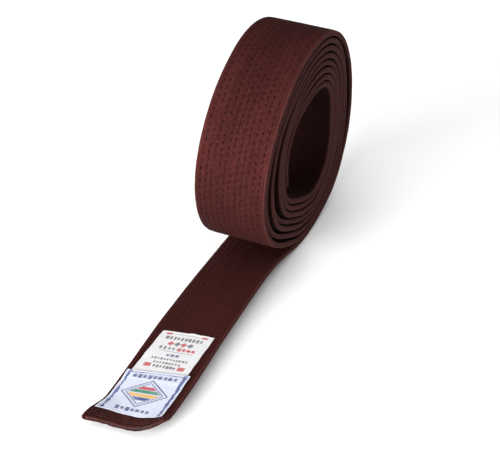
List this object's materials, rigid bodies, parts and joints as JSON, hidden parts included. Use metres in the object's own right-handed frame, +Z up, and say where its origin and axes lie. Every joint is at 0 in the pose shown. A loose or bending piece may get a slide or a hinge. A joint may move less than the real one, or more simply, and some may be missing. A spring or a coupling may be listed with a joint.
{
  "type": "martial arts belt",
  "caption": "Quilted cotton martial arts belt, rolled up and standing on edge, with its labelled free end lying flat in front.",
  "frame": {"origin": "on the floor under the middle of the roll, halfway across the belt", "axes": "+X across the belt along the roll's axis, -Y along the free end from the roll to its tip, +Z up"},
  "size_m": [0.045, 0.2841, 0.1441],
  "materials": {
    "cover_cotton": "matte brown twill cotton",
    "core_cotton": "matte unbleached and brown cotton",
    "brown_thread": "dull brown sewing thread",
    "white_weave": "off-white woven label",
    "pale_blue_weave": "pale blue woven label",
    "white_thread": "white sewing thread"
  },
  "bodies": {
    "roll": {"roll_cover": "cover_cotton", "roll_core_ply_1": "core_cotton", "roll_core_ply_2": "core_cotton", "roll_core_ply_3": "core_cotton", "inner_hem": "cover_cotton", "inner_hem_seam": "brown_thread"},
    "free_end": {"tail_cover": "cover_cotton", "tail_core_ply_1": "core_cotton", "tail_core_ply_2": "core_cotton", "tail_core_ply_3": "core_cotton", "tip_hem": "cover_cotton", "stitch_row_01": "brown_thread", "stitch_row_02": "brown_thread", "stitch_row_03": "brown_thread", "stitch_row_04": "brown_thread", "stitch_row_05": "brown_thread", "stitch_row_06": "brown_thread", "stitch_row_07": "brown_thread", "stitch_row_08": "brown_thread", "stitch_row_09": "brown_thread", "stitch_row_10": "brown_thread", "stitch_row_11": "brown_thread", "tip_cross_seam_1": "brown_thread", "tip_cross_seam_2": "brown_thread", "size_label": "white_weave", "size_label_seam": "white_thread", "emblem_label": "pale_blue_weave", "emblem_label_seam": "white_thread"}
  },
  "joints": [
    {"name": "free_end_lift", "type": "hinge", "parent": "roll", "child": "free_end", "pos_m": [0, -0.074, 0.0043], "axis": [-1, 0, 0], "range_deg": [0, 75]}
  ]
}
